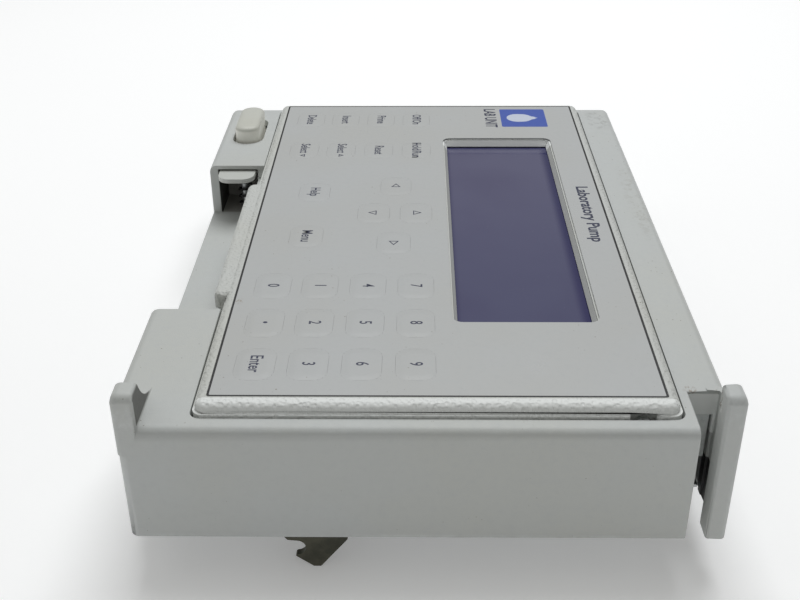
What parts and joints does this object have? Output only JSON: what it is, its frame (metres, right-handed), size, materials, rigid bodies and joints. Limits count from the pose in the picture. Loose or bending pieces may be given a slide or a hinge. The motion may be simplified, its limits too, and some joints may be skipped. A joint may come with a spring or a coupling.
{
  "type": "instrument front door with tilting control panel",
  "caption": "Moulded instrument front door with a control panel that tilts out, membrane keypad, display window, power button, latch tab and rear hinge hooks.",
  "frame": {"origin": "middle of the door on the surface that it lies on, under the hook tips", "axes": "+Z out of the door's front face, +X to the edge that is its top when hung, +Y to the side that is then its left"},
  "size_m": [0.1568, 0.225, 0.0568],
  "materials": {
    "shell_plastic": "warm light grey, fine moulded texture",
    "panel_plastic": "light grey, leather-like moulded grain",
    "keypad_film": "cool grey satin film, embossed keys",
    "display_glass": "dark blue glossy window",
    "button_plastic": "ivory, slightly aged",
    "dark_plastic": "black moulded",
    "hook_steel": "olive-grey passivated",
    "zinc_plate": "zinc plated",
    "steel": "bright",
    "circuit_board": "green solder mask",
    "light_guide": "milky"
  },
  "bodies": {
    "door": {"door_housing": "shell_plastic", "rear_plate": "zinc_plate", "latch_striker": "hook_steel", "notch_bracket": "zinc_plate", "hinge_hook_near": "hook_steel", "hinge_hook_far": "hook_steel", "pivot_pin_near": "steel", "pivot_pin_far": "steel", "plate_screw_1": "steel", "plate_screw_2": "steel", "plate_screw_3": "steel", "plate_screw_4": "steel", "power_switch": "dark_plastic", "button_spring": "steel", "latch_pin": "steel", "latch_spring": "steel", "latch_spring_post": "zinc_plate"},
    "tilt_panel": {"panel_bezel": "panel_plastic", "keypad_overlay": "keypad_film", "display_window": "display_glass", "display_module": "dark_plastic", "display_backlight": "light_guide", "driver_board": "circuit_board", "keypad_board": "circuit_board", "panel_back_cover": "zinc_plate", "brace_rod": "steel", "panel_screw_1": "steel", "panel_screw_2": "steel", "panel_screw_3": "steel", "panel_screw_4": "steel"},
    "support_brace": {"support_brace": "dark_plastic"},
    "power_button": {"power_button": "button_plastic"},
    "latch_tab": {"latch_tab": "panel_plastic"},
    "key_0": {"key_0": "keypad_film"},
    "key_1": {"key_1": "keypad_film"},
    "key_2": {"key_2": "keypad_film"},
    "key_3": {"key_3": "keypad_film"},
    "key_4": {"key_4": "keypad_film"},
    "key_5": {"key_5": "keypad_film"},
    "key_6": {"key_6": "keypad_film"},
    "key_7": {"key_7": "keypad_film"},
    "key_8": {"key_8": "keypad_film"},
    "key_9": {"key_9": "keypad_film"},
    "key_decimal": {"key_decimal": "keypad_film"},
    "key_enter": {"key_enter": "keypad_film"},
    "key_up": {"key_up": "keypad_film"},
    "key_down": {"key_down": "keypad_film"},
    "key_left": {"key_left": "keypad_film"},
    "key_right": {"key_right": "keypad_film"},
    "key_help": {"key_help": "keypad_film"},
    "key_menu": {"key_menu": "keypad_film"},
    "key_hold_run": {"key_hold_run": "keypad_film"},
    "key_reset": {"key_reset": "keypad_film"},
    "key_select_up": {"key_select_up": "keypad_film"},
    "key_select_down": {"key_select_down": "keypad_film"},
    "key_off_on": {"key_off_on": "keypad_film"},
    "key_prime": {"key_prime": "keypad_film"},
    "key_insert": {"key_insert": "keypad_film"},
    "key_delete": {"key_delete": "keypad_film"}
  },
  "joints": [
    {"name": "panel_tilt", "type": "hinge", "parent": "door", "child": "tilt_panel", "pos_m": [0.0549, 0, 0.0448], "axis": [0, 1, 0], "range_deg": [0, 38]},
    {"name": "brace_swing", "type": "hinge", "parent": "tilt_panel", "child": "support_brace", "pos_m": [0.0084, 0, 0.0265], "axis": [0, 1, 0], "range_deg": [0, 27]},
    {"name": "power_button_press", "type": "slide", "parent": "door", "child": "power_button", "axis": [0, 0, -1], "range_m": [0, 0.003], "stiffness_N_per_m": 400, "deforming": ["button_spring"]},
    {"name": "latch_tab_press", "type": "hinge", "parent": "door", "child": "latch_tab", "pos_m": [-0.06785, 0.0614, 0.0427], "axis": [1, 0, 0], "range_deg": [0, 10], "stiffness_Nm_per_rad": 0.08, "deforming": ["latch_spring"]},
    {"name": "key_0_press", "type": "slide", "parent": "tilt_panel", "child": "key_0", "axis": [0, 0, -1], "range_m": [0, 0.0005], "stiffness_N_per_m": 900},
    {"name": "key_1_press", "type": "slide", "parent": "tilt_panel", "child": "key_1", "axis": [0, 0, -1], "range_m": [0, 0.0005], "stiffness_N_per_m": 900},
    {"name": "key_2_press", "type": "slide", "parent": "tilt_panel", "child": "key_2", "axis": [0, 0, -1], "range_m": [0, 0.0005], "stiffness_N_per_m": 900},
    {"name": "key_3_press", "type": "slide", "parent": "tilt_panel", "child": "key_3", "axis": [0, 0, -1], "range_m": [0, 0.0005], "stiffness_N_per_m": 900},
    {"name": "key_4_press", "type": "slide", "parent": "tilt_panel", "child": "key_4", "axis": [0, 0, -1], "range_m": [0, 0.0005], "stiffness_N_per_m": 900},
    {"name": "key_5_press", "type": "slide", "parent": "tilt_panel", "child": "key_5", "axis": [0, 0, -1], "range_m": [0, 0.0005], "stiffness_N_per_m": 900},
    {"name": "key_6_press", "type": "slide", "parent": "tilt_panel", "child": "key_6", "axis": [0, 0, -1], "range_m": [0, 0.0005], "stiffness_N_per_m": 900},
    {"name": "key_7_press", "type": "slide", "parent": "tilt_panel", "child": "key_7", "axis": [0, 0, -1], "range_m": [0, 0.0005], "stiffness_N_per_m": 900},
    {"name": "key_8_press", "type": "slide", "parent": "tilt_panel", "child": "key_8", "axis": [0, 0, -1], "range_m": [0, 0.0005], "stiffness_N_per_m": 900},
    {"name": "key_9_press", "type": "slide", "parent": "tilt_panel", "child": "key_9", "axis": [0, 0, -1], "range_m": [0, 0.0005], "stiffness_N_per_m": 900},
    {"name": "key_decimal_press", "type": "slide", "parent": "tilt_panel", "child": "key_decimal", "axis": [0, 0, -1], "range_m": [0, 0.0005], "stiffness_N_per_m": 900},
    {"name": "key_enter_press", "type": "slide", "parent": "tilt_panel", "child": "key_enter", "axis": [0, 0, -1], "range_m": [0, 0.0005], "stiffness_N_per_m": 900},
    {"name": "key_up_press", "type": "slide", "parent": "tilt_panel", "child": "key_up", "axis": [0, 0, -1], "range_m": [0, 0.0005], "stiffness_N_per_m": 900},
    {"name": "key_down_press", "type": "slide", "parent": "tilt_panel", "child": "key_down", "axis": [0, 0, -1], "range_m": [0, 0.0005], "stiffness_N_per_m": 900},
    {"name": "key_left_press", "type": "slide", "parent": "tilt_panel", "child": "key_left", "axis": [0, 0, -1], "range_m": [0, 0.0005], "stiffness_N_per_m": 900},
    {"name": "key_right_press", "type": "slide", "parent": "tilt_panel", "child": "key_right", "axis": [0, 0, -1], "range_m": [0, 0.0005], "stiffness_N_per_m": 900},
    {"name": "key_help_press", "type": "slide", "parent": "tilt_panel", "child": "key_help", "axis": [0, 0, -1], "range_m": [0, 0.0005], "stiffness_N_per_m": 900},
    {"name": "key_menu_press", "type": "slide", "parent": "tilt_panel", "child": "key_menu", "axis": [0, 0, -1], "range_m": [0, 0.0005], "stiffness_N_per_m": 900},
    {"name": "key_hold_run_press", "type": "slide", "parent": "tilt_panel", "child": "key_hold_run", "axis": [0, 0, -1], "range_m": [0, 0.0005], "stiffness_N_per_m": 900},
    {"name": "key_reset_press", "type": "slide", "parent": "tilt_panel", "child": "key_reset", "axis": [0, 0, -1], "range_m": [0, 0.0005], "stiffness_N_per_m": 900},
    {"name": "key_select_up_press", "type": "slide", "parent": "tilt_panel", "child": "key_select_up", "axis": [0, 0, -1], "range_m": [0, 0.0005], "stiffness_N_per_m": 900},
    {"name": "key_select_down_press", "type": "slide", "parent": "tilt_panel", "child": "key_select_down", "axis": [0, 0, -1], "range_m": [0, 0.0005], "stiffness_N_per_m": 900},
    {"name": "key_off_on_press", "type": "slide", "parent": "tilt_panel", "child": "key_off_on", "axis": [0, 0, -1], "range_m": [0, 0.0005], "stiffness_N_per_m": 900},
    {"name": "key_prime_press", "type": "slide", "parent": "tilt_panel", "child": "key_prime", "axis": [0, 0, -1], "range_m": [0, 0.0005], "stiffness_N_per_m": 900},
    {"name": "key_insert_press", "type": "slide", "parent": "tilt_panel", "child": "key_insert", "axis": [0, 0, -1], "range_m": [0, 0.0005], "stiffness_N_per_m": 900},
    {"name": "key_delete_press", "type": "slide", "parent": "tilt_panel", "child": "key_delete", "axis": [0, 0, -1], "range_m": [0, 0.0005], "stiffness_N_per_m": 900}
  ],
  "couplings": [
    {"joint": "brace_swing", "follows": "panel_tilt", "ratio": 0.71}
  ]
}
